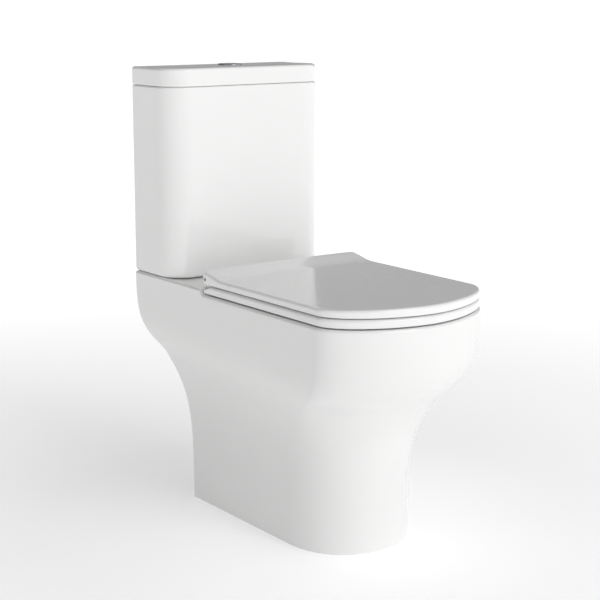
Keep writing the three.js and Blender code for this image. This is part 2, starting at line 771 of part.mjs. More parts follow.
function makeSeatRing() {
  const level = (inset, z) => at(dOutline(insetShape(seatShape, inset)), z);
  const body = loft([
    level(4, seatBottom),
    level(0, seatBottom + 4),
    level(0, seatTop - 4),
    level(4, seatTop),
  ]);
  const opening = loft([
    at(oval(seatOpeningHalf, -seatOpeningRear, -seatOpeningFront, 2.2), seatBottom - 1),
    at(oval(seatOpeningHalf, -seatOpeningRear, -seatOpeningFront, 2.2), seatTop - 5),
    at(oval(seatOpeningHalf + 7, 7 - seatOpeningRear, -seatOpeningFront - 7, 2.2), seatTop + 1),
  ]);
  const scoop = barrel(18.5, -deckHalf, deckHalf, -hingeBack, hingeHeight, 28);
  const bar = cut(body, opening, scoop);
  const knuckles = sides.map((side) => {
    const inner = side * (hingeX - hingeWidth / 2 - 1);
    const reach = span(inner, inner - side * lugWidth);
    return join(
      barrel(hingeBarrelRadius, ...reach, -hingeBack, hingeHeight),
      block(reach, [-hingeBack - 6, -hingeBack + 4], [seatBottom + 4, hingeHeight]));
  });
  const notches = sides.map((side) =>
    block([side * hingeX + baseFrom - 1, side * hingeX + baseTo + 1],
      [-hingeBack - 8, -seatRear + 1], [seatBottom - 1, hingeHeight]));
  const recesses = sides.flatMap((side) => seatBuffers.map(([x, y]) =>
    drum(bufferRadius + gap, seatBottom - 1, seatBottom + bufferRecess + gap, side * x, -y, 20)));
  const pinHole = barrel(hingePinRadius + gap, -deckHalf, deckHalf, -hingeBack, hingeHeight);
  return cut(join(bar, ...knuckles), ...notches, ...recesses, pinHole);
}

// ---------- seat lid ----------
// Height of the lid's top: a slight crown, and a rise over the hinges at the back.
function lidTop(x, y) {
  const crown = lidCrown * Math.max(1 - (x / seatRearHalf) ** 2, 0);
  const along = Math.min(Math.max((y + lidRear + lidHumpLength) / lidHumpLength, 0), 1);
  return lidBottom + lidEdge + crown + lidHump * along * along * (3 - 2 * along);
}

// Solid under the lid's top, drawn in by an inset and lowered by a wall. Its rings step in
// from the outline by these distances at the back.
function lidForm(inset, wall, bottom) {
  const shape = insetShape({ ...seatShape, rear: -lidRear }, inset);
  const outline = dOutline(shape);
  const centre = (shape.rear + shape.front) / 2;
  const scaled = (share) =>
    outline.map((p) => new THREE.Vector2(p.x * share, centre + (p.y - centre) * share));
  const topRing = (share, drop) =>
    scaled(share).map((p) => new THREE.Vector3(p.x, p.y, lidTop(p.x, p.y) - wall - drop));
  const edgeDrop = Math.max(lidRounding - wall, 0.5);
  const halfLength = (shape.rear - shape.front) / 2;
  return loft([
    at(outline, bottom),
    topRing(1, edgeDrop),
    topRing(1 - 3 / halfLength, edgeDrop / 3),
    ...[11, 24, 39, 57, 130].map((step) => topRing(1 - step / halfLength, 0)),
  ]);
}

function makeSeatLid() {
  const shell = cut(lidForm(0, 0, lidBottom), lidForm(lidShell, lidShell, lidBottom - 1));
  const notches = sides.map((side) => {
    const outer = side * (hingeX + hingeWidth / 2 + 1);
    const inner = side * (hingeX - hingeWidth / 2 - lugWidth - 3);
    const reach = span(outer, inner);
    return block(reach, [-lidRear - lidShell - 2, -lidRear + 1],
      [lidBottom - 1, hingeHeight + hingeBarrelRadius + hingeClearance]);
  });
  const knuckles = sides.map((side) => {
    const inner = side * (hingeX + hingeWidth / 2 + 1);
    const reach = span(inner, inner + side * lugWidth);
    return join(
      barrel(hingeBarrelRadius, ...reach, -hingeBack, hingeHeight),
      block(reach, [-hingeBack - 5, -hingeBack + 5],
        [hingeHeight, hingeHeight + hingeBarrelRadius + hingeClearance + 2]));
  });
  const pinHole = barrel(hingePinRadius + gap, -deckHalf, deckHalf, -hingeBack, hingeHeight);
  return cut(join(cut(shell, ...notches), ...knuckles), pinHole);
}

add("seat_ring", makeSeatRing(), seatPlastic);
add("seat_lid", makeSeatLid(), seatPlastic);
seatBuffers.forEach(([x, y], i) => {
  const pad = drum(bufferRadius, rimHeight + gap, seatBottom + bufferRecess, 0, 0, 20);
  addPair(`seat_buffer_${i + 1}`, pad, rubber, x, -y);
});
lidBuffers.forEach(([x, y], i) => {
  const inside = lidTop(x + bufferRadius, -y) - lidShell - gap - 0.5;
  const pad = drum(lidBufferRadius, seatTop + gap, inside, 0, 0, 16);
  addPair(`lid_buffer_${i + 1}`, pad, rubber, x, -y);
});

export default toilet;
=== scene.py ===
from bisect import bisect_right
from math import cos, exp, hypot, pi, radians, sin

import bmesh
import bpy
from mathutils import Matrix, Vector


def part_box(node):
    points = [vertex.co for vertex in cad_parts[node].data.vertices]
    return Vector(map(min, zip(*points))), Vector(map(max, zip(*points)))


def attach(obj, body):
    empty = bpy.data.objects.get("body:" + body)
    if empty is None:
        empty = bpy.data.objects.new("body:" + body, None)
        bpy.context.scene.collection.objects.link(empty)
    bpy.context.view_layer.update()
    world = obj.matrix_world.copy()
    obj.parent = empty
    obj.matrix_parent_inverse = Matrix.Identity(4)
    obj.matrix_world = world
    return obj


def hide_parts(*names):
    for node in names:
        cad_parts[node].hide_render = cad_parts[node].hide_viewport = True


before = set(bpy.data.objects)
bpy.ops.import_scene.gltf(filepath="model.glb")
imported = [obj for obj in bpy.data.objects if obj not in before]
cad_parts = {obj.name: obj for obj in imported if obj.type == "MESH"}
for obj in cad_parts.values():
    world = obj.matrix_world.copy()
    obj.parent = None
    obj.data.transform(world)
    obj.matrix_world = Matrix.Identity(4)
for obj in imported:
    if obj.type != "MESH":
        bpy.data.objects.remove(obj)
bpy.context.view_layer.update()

bl_info = {
    "name": "Close coupled toilet",
    "version": (1, 0, 0),
    "blender": (4, 5, 0),
    "location": "View3D > Sidebar > Toilet",
    "description": "Fine surfaces, finishes and studio for a close coupled toilet",
    "category": "Object",
}

# Shapes are drawn in millimetres from the wall plane and the floor, with the front at -Y;
# to_piece turns them into metres in the frame's own place.
MM = 0.001
GAP = 0.3  # between pieces that touch
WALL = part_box("pan")[1].y
WIDE = 2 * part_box("cistern_tank")[1].x / MM  # of the cistern
DEEP = (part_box("cistern_tank")[1].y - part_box("cistern_tank")[0].y) / MM
TANK_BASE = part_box("cistern_tank")[0].z / MM
TANK_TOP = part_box("cistern_tank")[1].z / MM
COVER_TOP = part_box("cistern_lid")[1].z / MM
COVER_BASE = TANK_TOP + GAP
MIDDLE = -DEEP / 2
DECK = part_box("pan")[1].z / MM
RIM = DECK - 10
DECK_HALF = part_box("pan")[1].x / MM
DECK_UNDER = DECK - 22
RIM_FRONT = (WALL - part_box("pan")[0].y) / MM
RIM_HALF = 172
RIM_SHOULDER = 560
DECK_FRONT = 222
FOOT_HALF = 115
FOOT_REAR = 99
FOOT_SHOULDER = 408
FOOT_FRONT = 529
PAN_WALL = 12
BOWL_WALL = 10
BOWL_REAR = 284
MOUTH_HALF = RIM_HALF - 44  # of the bowl, inside the rim
MOUTH_FRONT = RIM_FRONT - 40
WATER = 143
OUTLET_HEIGHT = 180
OUTLET_RADIUS = 51
OUTLET_END = 30
TRAP_RADIUS = 37
RECESS_RADIUS = 50
RECESS_FLOOR = DECK - 24
CASTING_FLOOR = RECESS_FLOOR - 31
COUPLING_HALF = 78
BOLT_HOLE = 6  # radii of the holes through the china
SCREW_HOLE = 5
FILL_HOLE = 11.5
FILL_ROOM = 23
SCREW_SIDE = 80
SCREW_BACK = 150
HINGE_HALF = 77.5
HINGE_BACK = 238
HINGE_WIDE = 22
HINGE_RADIUS = 7
PIN_BORE = 3.8
LUG_WIDE = 18
SEAT_BOLT_BACK = 200
SEAT_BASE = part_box("seat_ring")[0].z / MM
SEAT_TOP = SEAT_BASE + 16
SEAT_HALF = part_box("seat_lid")[1].x / MM
LID_BASE = SEAT_TOP + 1.5
LID_REAR = 227
SEAT_HOLE_HALF = 108
SEAT_HOLE_REAR = 300
SEAT_HOLE_FRONT = 597
HINGE_HEIGHT = 453.392
FILL_SIDE = 125
BUTTON_RADIUS = 16
BUTTON_SPLIT = 3
ACROSS = Vector((1, 0, 0))


# ---------- small maths ----------
def mix(low, high, share):
    return low + (high - low) * share


def ease(share):
    held = min(max(share, 0), 1)
    return held * held * (3 - 2 * held)


def quarter(steps):
    """Angles of a quarter turn, both ends included."""
    return [pi / 2 * i / steps for i in range(steps + 1)]


def roundover(radius, steps=5):
    """Drawn-in distance and rise of an outside edge, from the wall up to the top."""
    return [(radius * (1 - cos(a)), radius * sin(a)) for a in quarter(steps)]


def smooth_path(points, per_span=6):
    """Points on a smooth curve through the given tuples."""
    ends = [points[0], *points, points[-1]]
    path = []
    for a, b, c, d in zip(ends, ends[1:], ends[2:], ends[3:]):
        for step in range(per_span):
            t = step / per_span
            path.append(tuple(
                0.5 * (2 * q + (r - p) * t + (2 * p - 5 * q + 4 * r - s) * t * t
                       + (3 * q - p - 3 * r + s) * t ** 3)
                for p, q, r, s in zip(a, b, c, d)))
    path.append(tuple(points[-1]))
    return path


# ---------- outlines, seen from above, starting at the middle of the back ----------
STEP_LINES = 6  # lines across the step between deck and rim
STEP_START = 214 / 552  # where the first lies along the side, as a share of it
STEP_END = 226 / 552
SIDE_STOPS = sorted(
    [i / 24 for i in range(1, 24) if not STEP_START - 0.02 < i / 24 < STEP_END + 0.02]
    + [mix(STEP_START, STEP_END, i / (STEP_LINES - 1)) for i in range(STEP_LINES)])
REAR_STEPS = 10
CORNER_STEPS = 5
NOSE_STEPS = 44
FIRST_STEP_POINT = REAR_STEPS + CORNER_STEPS + 1 + sum(s < STEP_START - 1e-6 for s in SIDE_STOPS)


def mirrored(half):
    """Whole outline from its left half, which runs from the back to the front."""
    return half + [(-x, y) for x, y in reversed(half[1:-1])]


def d_outline(rear_half, nose_half, rear, shoulder, front, power, corner=8):
    """Straight back, small corners, sides that may taper and a superellipse nose."""
    flat = rear_half - corner
    half = [(-flat * i / REAR_STEPS, rear) for i in range(REAR_STEPS)]
    half += [(-flat - corner * sin(a), rear - corner * (1 - cos(a))) for a in quarter(CORNER_STEPS)]
    half += [(-mix(rear_half, nose_half, s), mix(rear - corner, shoulder, s)) for s in SIDE_STOPS]
    half += [
        (-nose_half * max(cos(a), 0) ** (2 / power), mix(shoulder, front, sin(a) ** (2 / power)))
        for a in quarter(NOSE_STEPS)]
    half[-1] = (0, front)
    return mirrored(half)


def oval(half_width, rear, front, power, steps=180):
    """Superellipse between a rear and a front."""
    points = []
    for i in range(steps):
        turn = 2 * pi * i / steps
        across = abs(sin(turn)) ** (2 / power) * (1 if sin(turn) > 0 else -1)
        along = abs(cos(turn)) ** (2 / power) * (1 if cos(turn) > 0 else -1)
        points.append((-half_width * across, (rear + front) / 2 + (rear - front) / 2 * along))
    return points


def cistern_outline(inset):
    """Box with large front corners and small rear ones, drawn in by an inset."""
    side, rear, front = WIDE / 2 - inset, -inset, inset - DEEP
    small, big = max(6 - inset, 1.5), max(49 - inset, 2)
    half = [(-(side - small) * i / 8, rear) for i in range(8)]
    half += [(small - side - small * sin(a), rear - small * (1 - cos(a))) for a in quarter(6)]
    half += [(-side, mix(rear - small, front + big, i / 6)) for i in range(1, 6)]
    half += [(big - side - big * cos(a), front + big - big * sin(a)) for a in quarter(24)]
    half += [(mix(big - side, 0, i / 8), front) for i in range(1, 9)]
    return mirrored(half)


def matched(outline, shape):
    """The shape's points at the same shares of the way round as the outline's points."""
    def travel(points):
        far = [0]
        for a, b in zip(points, points[1:] + points[:1]):
            far.append(far[-1] + hypot(b[0] - a[0], b[1] - a[1]))
        return far
    wanted, far = travel(outline), travel(shape)
    found = []
    for way in wanted[:-1]:
        goal = way / wanted[-1] * far[-1]
        i = min(bisect_right(far, goal) - 1, len(shape) - 1)
        a, b = shape[i], shape[(i + 1) % len(shape)]
        t = (goal - far[i]) / (far[i + 1] - far[i])
        found.append((mix(a[0], b[0], t), mix(a[1], b[1], t)))
    return found


def at(outline, height):
    return [(x, y, height) for x, y in outline]


# ---------- bmesh helpers ----------
def ring_edges(bm, ring):
    return [bm.edges.get((ring[i - 1], ring[i])) for i in range(len(ring))]


def draw_out(bm, ring, points):
    """Extrudes a ring of vertices to new places, in the same order."""
    made = {v for v in bmesh.ops.extrude_edge_only(bm, edges=ring_edges(bm, ring))["geom"]
            if isinstance(v, bmesh.types.BMVert)}
    fresh = [next(e.other_vert(v) for e in v.link_edges if e.other_vert(v) in made) for v in ring]
    for vertex, point in zip(fresh, points):
        vertex.co = point
    return fresh


def loft(rings, closed=False, caps=(True, True)):
    """Skin over rings of equal point counts, capped at its ends or closed on itself."""
    bm = bmesh.new()
    first = bmesh.ops.create_circle(bm, segments=len(rings[0]), radius=1)["verts"]
    for vertex, point in zip(first, rings[0]):
        vertex.co = point
    ring = first
    for points in rings[1:] + ([rings[0]] if closed else []):
        ring = draw_out(bm, ring, points)
    if not closed:
        for wanted, end in zip(caps, (first, ring)):
            if wanted:
                bmesh.ops.contextual_create(bm, geom=ring_edges(bm, end))
    bmesh.ops.remove_doubles(bm, verts=bm.verts, dist=0.002)
    bmesh.ops.recalc_face_normals(bm, faces=bm.faces)
    return bm


def drum(radius, low, high, x=0, y=0, sides=64, edge=0.0):
    """Upright cylinder, with its two edges rounded if an edge radius is given."""
    bm = bmesh.new()
    bmesh.ops.create_cone(bm, cap_ends=True, segments=sides, radius1=radius, radius2=radius,
                          depth=high - low)
    if edge:
        soften(bm, edge)
    bmesh.ops.translate(bm, verts=bm.verts, vec=(x, y, (low + high) / 2))
    return bm


def barrel(radius, low, high, y, z, sides=48, edge=0.0):
    """Cylinder along X."""
    bm = drum(radius, low, high, sides=sides, edge=edge)
    bmesh.ops.rotate(bm, verts=bm.verts, matrix=Matrix.Rotation(pi / 2, 3, "Y"))
    bmesh.ops.translate(bm, verts=bm.verts, vec=(0, y, z))
    return bm


def block(x, y, z, edge=0.0):
    """Box between two corners, with its edges rounded if an edge radius is given."""
    bm = bmesh.new()
    bmesh.ops.create_cube(bm, size=1)
    bmesh.ops.scale(bm, verts=bm.verts, vec=(x[1] - x[0], y[1] - y[0], z[1] - z[0]))
    if edge:
        soften(bm, edge)
    bmesh.ops.translate(bm, verts=bm.verts,
                        vec=((x[0] + x[1]) / 2, (y[0] + y[1]) / 2, (z[0] + z[1]) / 2))
    return bm


def soften(bm, width, segments=3, angle=30):
    """Rounds the sharp edges."""
    sharp = [e for e in bm.edges if len(e.link_faces) == 2
             and e.calc_face_angle(0) > radians(angle)]
    bmesh.ops.bevel(bm, geom=sharp, offset=width, segments=segments, affect="EDGES",
                    profile=0.5, material=-1)


def pipe(path, radius, sides=40):
    """Closed tube of round section along [y, z] points in the middle plane."""
    points = [Vector((0, y, z)) for y, z in path]
    rings = []
    for i, middle in enumerate(points):
        ahead = points[min(i + 1, len(points) - 1)] - points[max(i - 1, 0)]
        outward = ahead.normalized().cross(ACROSS)
        rings.append([middle + radius * (cos(2 * pi * k / sides) * ACROSS
                                         + sin(2 * pi * k / sides) * outward)
                      for k in range(sides)])
    return loft(rings)


def turned(profile, x=0, y=0, sides=72):
    """A closed profile of (radius, height) corners spun about an upright axis."""
    bm = bmesh.new()
    corners = [bm.verts.new((r, 0, z)) for r, z in profile]
    edges = [bm.edges.new((corners[i - 1], corners[i])) for i in range(len(corners))]
    bmesh.ops.spin(bm, geom=corners + edges, cent=(0, 0, 0), axis=(0, 0, 1), angle=2 * pi,
                   steps=sides, use_merge=True)
    bmesh.ops.remove_doubles(bm, verts=bm.verts, dist=0.002)
    bmesh.ops.recalc_face_normals(bm, faces=bm.faces)
    bmesh.ops.translate(bm, verts=bm.verts, vec=(x, y, 0))
    return bm


def to_piece(bm, name):
    """Object in metres in the frame's place, from a shape in millimetres."""
    bmesh.ops.scale(bm, verts=bm.verts, vec=(MM, MM, MM))
    bmesh.ops.translate(bm, verts=bm.verts, vec=(0, WALL, 0))
    mesh = bpy.data.meshes.new(name)
    bm.to_mesh(mesh)
    bm.free()
    piece = bpy.data.objects.new(name, mesh)
    bpy.context.scene.collection.objects.link(piece)
    return piece


def bake(piece):
    """Applies the piece's modifiers."""
    shown = piece.evaluated_get(bpy.context.evaluated_depsgraph_get())
    mesh = bpy.data.meshes.new_from_object(shown)
    mesh.name = piece.name
    piece.modifiers.clear()
    piece.data = mesh


def combine(piece, operation, *tools):
    """Joins solids to a piece, or cuts them out of it."""
    for bm in tools:
        tool = to_piece(bm, "tool")
        change = piece.modifiers.new("combine", "BOOLEAN")
        change.operation = operation
        change.solver = "MANIFOLD"
        change.object = tool
        bake(piece)
        bpy.data.objects.remove(tool)
        if not piece.data.polygons:
            raise RuntimeError(f"{piece.name} came to nothing in {operation}")


def smooth(piece, angle=28):
    """Smooth shading with crisp edges, and flats that stay flat."""
    for polygon in piece.data.polygons:
        polygon.use_smooth = True
    piece.data.set_sharp_from_angle(angle=radians(angle))
    even = piece.modifiers.new("even_flats", "WEIGHTED_NORMAL")
    even.keep_sharp = True
    even.weight = 80


def place(piece, body, slot, *nodes):
    """Gives a finished piece its body, finish and the CAD nodes that it stands for."""
    piece.data.materials.clear()
    piece.data.materials.append(FINISHES[slot]())
    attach(piece, body)
    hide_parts(*nodes)


# ---------- finishes ----------
def shader(name, colour, roughness, metallic=0.0):
    """New material with a plain shader, or the one made before."""
    known = bpy.data.materials.get("toilet_" + name)
    if known:
        return known, None, None
    material = bpy.data.materials.new("toilet_" + name)
    material.use_nodes = True
    tree = material.node_tree
    surface = tree.nodes["Principled BSDF"]
    surface.inputs["Base Color"].default_value = (*colour, 1)
    surface.inputs["Roughness"].default_value = roughness
    surface.inputs["Metallic"].default_value = metallic
    return material, tree, surface


def noise(tree, scale, detail=3.0, stretch=(1, 1, 1)):
    """Noise on object coordinates; the scale is in features a metre."""
    where = tree.nodes.new("ShaderNodeTexCoord")
    mapping = tree.nodes.new("ShaderNodeMapping")
    mapping.inputs["Scale"].default_value = stretch
    texture = tree.nodes.new("ShaderNodeTexNoise")
    texture.inputs["Scale"].default_value = scale
    texture.inputs["Detail"].default_value = detail
    tree.links.new(where.outputs["Object"], mapping.inputs["Vector"])
    tree.links.new(mapping.outputs["Vector"], texture.inputs["Vector"])
    return texture.outputs["Fac"]


def spread(tree, source, low, high, start=0.3, end=0.7):
    """Noise stretched between two values."""
    ranged = tree.nodes.new("ShaderNodeMapRange")
    ranged.inputs["From Min"].default_value = start
    ranged.inputs["From Max"].default_value = end
    ranged.inputs["To Min"].default_value = low
    ranged.inputs["To Max"].default_value = high
    tree.links.new(source, ranged.inputs["Value"])
    return ranged.outputs["Result"]


def worked(tree, operation, first, second):
    """Two values put through one sum, such as MULTIPLY."""
    node = tree.nodes.new("ShaderNodeMath")
    node.operation = operation
    tree.links.new(first, node.inputs[0])
    tree.links.new(second, node.inputs[1])
    return node.outputs["Value"]


def tint(tree, surface, source, first, second, start=0.35, end=0.65):
    """Colour that drifts between two shades."""
    ramp = tree.nodes.new("ShaderNodeValToRGB")
    ramp.color_ramp.elements[0].position = start
    ramp.color_ramp.elements[0].color = (*first, 1)
    ramp.color_ramp.elements[1].position = end
    ramp.color_ramp.elements[1].color = (*second, 1)
    tree.links.new(source, ramp.inputs["Fac"])
    tree.links.new(ramp.outputs["Color"], surface.inputs["Base Color"])


def bumps(tree, surface, *layers):
    """Stacks bump layers, each a noise output, its height in metres and its strength."""
    last = None
    for source, height, strength in layers:
        bump = tree.nodes.new("ShaderNodeBump")
        bump.inputs["Distance"].default_value = height
        bump.inputs["Strength"].default_value = strength
        tree.links.new(source, bump.inputs["Height"])
        if last:
            tree.links.new(last, bump.inputs["Normal"])
        last = bump.outputs["Normal"]
    tree.links.new(last, surface.inputs["Normal"])


def shade(colour, share):
    return tuple(channel * share for channel in colour)


def looks():
    return bpy.context.scene.toilet_looks


def glaze():
    """Vitreous china: a deep gloss over a faint waviness left by the casting."""
    colour = tuple(looks().glaze_colour)
    material, tree, surface = shader("glaze", colour, 0.12)
    if tree:
        tint(tree, surface, noise(tree, 5, 2), shade(colour, 0.985), colour)
        tree.links.new(spread(tree, noise(tree, 60, 4), 0.09, 0.16), surface.inputs["Roughness"])
        bumps(tree, surface,
              (noise(tree, 9, 1), 0.0009, 0.25),
              (noise(tree, 420, 2), 0.00004, 0.2))
        surface.inputs["IOR"].default_value = 1.55
        surface.inputs["Coat Weight"].default_value = 0.6
        surface.inputs["Coat Roughness"].default_value = 0.04
    return material


def seat_plastic():
    """Moulded thermoset: whiter and flatter than the china, with a softer gloss."""
    colour = tuple(looks().seat_colour)
    material, tree, surface = shader("seat_plastic", colour, 0.16)
    if tree:
        tint(tree, surface, noise(tree, 12, 3), shade(colour, 0.99), colour)
        tree.links.new(spread(tree, noise(tree, 90, 5), 0.13, 0.22), surface.inputs["Roughness"])
        bumps(tree, surface,
              (noise(tree, 22, 1), 0.0003, 0.15),
              (noise(tree, 900, 2), 0.00002, 0.25))
        surface.inputs["Coat Weight"].default_value = 0.35
        surface.inputs["Coat Roughness"].default_value = 0.06
    return material


def chrome():
    """Polished plating with faint wipe marks."""
    colour = tuple(looks().button_colour)
    material, tree, surface = shader("chrome", colour, 0.08, 1.0)
    if tree:
        tint(tree, surface, noise(tree, 70, 3), shade(colour, 0.93), colour)
        marks = noise(tree, 260, 6, (1, 0.25, 1))
        tree.links.new(spread(tree, marks, 0.05, 0.17), surface.inputs["Roughness"])
        bumps(tree, surface, (marks, 0.00002, 0.2))
    return material


def moulded(name, colour, roughness=0.42):
    """Satin moulding with a fine spark-eroded grain and slight flow marks."""
    material, tree, surface = shader(name, colour, roughness)
    if tree:
        tint(tree, surface, noise(tree, 30, 3), shade(colour, 0.93), colour)
        tree.links.new(spread(tree, noise(tree, 140, 4), roughness - 0.07, roughness + 0.08),
                       surface.inputs["Roughness"])
        bumps(tree, surface,
              (noise(tree, 45, 2, (1, 1, 0.2)), 0.0002, 0.15),
              (noise(tree, 2200, 2), 0.00004, 0.4))
    return material


def white_plastic():
    return moulded("white_plastic", (0.79, 0.80, 0.79))


def blue_plastic():
    return moulded("blue_plastic", (0.05, 0.19, 0.4))


def grey_plastic():
    return moulded("grey_plastic", (0.26, 0.27, 0.28), 0.48)


def rubber():
    """Dull black rubber with a dusty bloom."""
    colour = (0.022, 0.022, 0.024)
    material, tree, surface = shader("rubber", colour, 0.75)
    if tree:
        tint(tree, surface, noise(tree, 160, 5), colour, (0.05, 0.05, 0.052))
        tree.links.new(spread(tree, noise(tree, 300, 3), 0.62, 0.88), surface.inputs["Roughness"])
        bumps(tree, surface, (noise(tree, 1500, 3), 0.00006, 0.5))
    return material


def drawn_metal(name, colour, dull, tarnish):
    """Drawn or turned metal with fine lines and patches of tarnish."""
    material, tree, surface = shader(name, colour, 0.34, 1.0)
    if tree:
        tint(tree, surface, noise(tree, 110, 5), tarnish, colour)
        lines = noise(tree, 900, 3, (1, 1, 0.06))
        tree.links.new(spread(tree, lines, dull - 0.1, dull + 0.12), surface.inputs["Roughness"])
        bumps(tree, surface, (lines, 0.00003, 0.35))
    return material


def steel():
    return drawn_metal("steel", (0.5, 0.51, 0.52), 0.34, (0.38, 0.38, 0.38))


def brass():
    return drawn_metal("brass", (0.62, 0.43, 0.14), 0.36, (0.38, 0.25, 0.09))


FINISHES = {
    "glaze": glaze, "seat_plastic": seat_plastic, "chrome": chrome,
    "white_plastic": white_plastic, "blue_plastic": blue_plastic,
    "grey_plastic": grey_plastic, "rubber": rubber, "steel": steel, "brass": brass,
}


# ---------- pan ----------
def flare(height, middle, under, over):
    """0 at the foot and 1 from the rim up, with the steepest flare at one height."""
    def share(z):
        return 1 / (1 + exp((middle - z) / (under if z < middle else over)))
    return min(share(height) / share(RIM), 1)


def pan_outline(height, wall=0.0, reach=None):
    """Outline of the pan, drawn in by a wall; a reach carries its back past the wall plane."""
    back = flare(height, DECK - 147, 44, 24)
    nose = flare(height, DECK - 167, 39, 25)
    return d_outline(
        mix(FOOT_HALF, DECK_HALF, back) - wall,
        mix(FOOT_HALF, RIM_HALF, nose) - wall,
        -mix(FOOT_REAR, 0, back) - wall if reach is None else reach,
        -mix(FOOT_SHOULDER, RIM_SHOULDER, nose),
        wall - mix(FOOT_FRONT, RIM_FRONT, nose),
        mix(2.2, 1.75, nose))


def pan_top(y):
    """Height of the pan's top: the deck, a soft step, then the rim."""
    return mix(DECK, RIM, ease((-y - DECK_FRONT) / (DECK - RIM)))


def pan_skin(edge):
    """Outside of the pan, its rounded rim and deck edges, and its top as one solid."""
    rings = [at(pan_outline(0, 2.0), 0), at(pan_outline(1, 0.4), 0.6), at(pan_outline(2), 2.2)]
    rings += [at(pan_outline(z), z) for z in range(14, int(RIM) - 8, 10)]
    for inset, rise in roundover(edge):
        outline = pan_outline(RIM, inset)
        rings.append([(x, y, pan_top(y) - edge + rise) for x, y in outline])
    brim = rings[-1]
    count = len(brim)
    for line in range(STEP_LINES):
        k = FIRST_STEP_POINT + line
        left, right = Vector(brim[k]), Vector(brim[-k])
        ring = list(brim)
        for j in range(-k, k + 1):
            ring[j % count] = tuple(right.lerp(left, (j + k) / (2 * k)))
        rings.append(ring)
    return loft(rings)


def bowl_sections(wall):
    """Rings of the bowl from the sump to the mouth: height, half width, rear and front."""
    sections = [
        (62, 30, BOWL_REAR + 28, 375),
        (WATER - 53, 40, BOWL_REAR + 16, 392),
        (WATER, 50, BOWL_REAR + 10, 430),
        (RIM - 225.6, 70, BOWL_REAR + 6, 485),
        (RIM - 166.4, 95, BOWL_REAR + 2, 545),
        (RIM - 95.9, MOUTH_HALF - 10, BOWL_REAR, MOUTH_FRONT - 24),
        (RIM - 31, MOUTH_HALF, BOWL_REAR, MOUTH_FRONT),
    ]
    return [at(oval(half + wall, wall - rear, -nose - wall, 2.3), z)
            for z, half, rear, nose in smooth_path(sections)]


def mouth(grow, height):
    """Outline of the bowl's mouth, grown by a distance."""
    return at(oval(MOUTH_HALF + grow, grow - BOWL_REAR, -MOUTH_FRONT - grow, 2.3), height)


def bowl_space(edge):
    """Everything that is open above the bowl's surface, with the opening's rounded edge."""
    rings = bowl_sections(0)
    rings += [mouth(grow, RIM - edge + rise) for grow, rise in roundover(edge, 8)]
    return loft([*rings, mouth(edge, RIM + 6)])


def bowl_case():
    """The bowl's outer skin, carried up into the deck."""
    rings = bowl_sections(BOWL_WALL)
    return loft([*rings, [(x, y, DECK_UNDER + 3) for x, y, _ in rings[-1]]])


def trap_path(end):
    bend = [(-350, 100), (-338, 70), (-305, 56), (-268, 66), (-243, 105),
            (-226, OUTLET_HEIGHT - 32), (-196, OUTLET_HEIGHT - 3), (-150, OUTLET_HEIGHT)]
    return smooth_path([*bend, (end, OUTLET_HEIGHT)])


def inlet_path():
    return smooth_path([
        (MIDDLE, RECESS_FLOOR + 3), (MIDDLE - 4, RECESS_FLOOR - 19),
        (MIDDLE - 42, RECESS_FLOOR - 35), (-200, RECESS_FLOOR - 35),
        (-BOWL_REAR - 16, RECESS_FLOOR - 23)])


def spigot():
    """Outlet spigot with a rounded end."""
    bm = drum(OUTLET_RADIUS, 0, 110, sides=80, edge=3)
    bmesh.ops.rotate(bm, verts=bm.verts, matrix=Matrix.Rotation(pi / 2, 3, "X"))
    bmesh.ops.translate(bm, verts=bm.verts, vec=(0, -OUTLET_END, OUTLET_HEIGHT))
    return bm


class TOILET_OT_pan(bpy.types.Operator):
    """Pan: skirted outside with a rim and deck, bowl, trapway, spigot and flush inlet"""
    bl_idname = "toilet.pan"
    bl_label = "Pan"

    def execute(self, context):
        sizes = looks()
        pan = to_piece(pan_skin(sizes.rim_edge), "pan_china")
        levels = [-1, *range(60, int(DECK_UNDER) - 8, 16), DECK_UNDER]
        combine(pan, "DIFFERENCE", loft([at(pan_outline(z, PAN_WALL, 5), z) for z in levels]))
        lugs = [block(sorted((side * (SCREW_SIDE - 18), side * (FOOT_HALF - 4))),
                      (-SCREW_BACK - 22, -SCREW_BACK + 22), (0, 28), 2) for side in (-1, 1)]
        cup = drum(RECESS_RADIUS + BOWL_WALL, CASTING_FLOOR, DECK_UNDER + 3, 0, MIDDLE)
        combine(pan, "UNION", bowl_case(), pipe(trap_path(-OUTLET_END - 60), TRAP_RADIUS + 10),
                spigot(), pipe(inlet_path(), 34), cup, *lugs)
        holes = [drum(FILL_ROOM, CASTING_FLOOR, DECK + 1, -FILL_SIDE, MIDDLE)]
        for side in (-1, 1):
            holes.append(drum(SCREW_HOLE, -1, 40, side * SCREW_SIDE, -SCREW_BACK, 32))
            for x, y in ((side * COUPLING_HALF, MIDDLE), (side * HINGE_HALF, -SEAT_BOLT_BACK)):
                holes.append(drum(BOLT_HOLE, CASTING_FLOOR, DECK + 1, x, y, 32))
        combine(pan, "DIFFERENCE", bowl_space(sizes.bowl_edge),
                pipe(trap_path(10 - OUTLET_END), TRAP_RADIUS), pipe(inlet_path(), 24),
                drum(RECESS_RADIUS, RECESS_FLOOR, DECK + 1, 0, MIDDLE), *holes)
        smooth(pan)
        place(pan, "pan_and_cistern", "glaze", "pan", "pan_bowl", "pan_trapway", "pan_inlet")
        return {"FINISHED"}


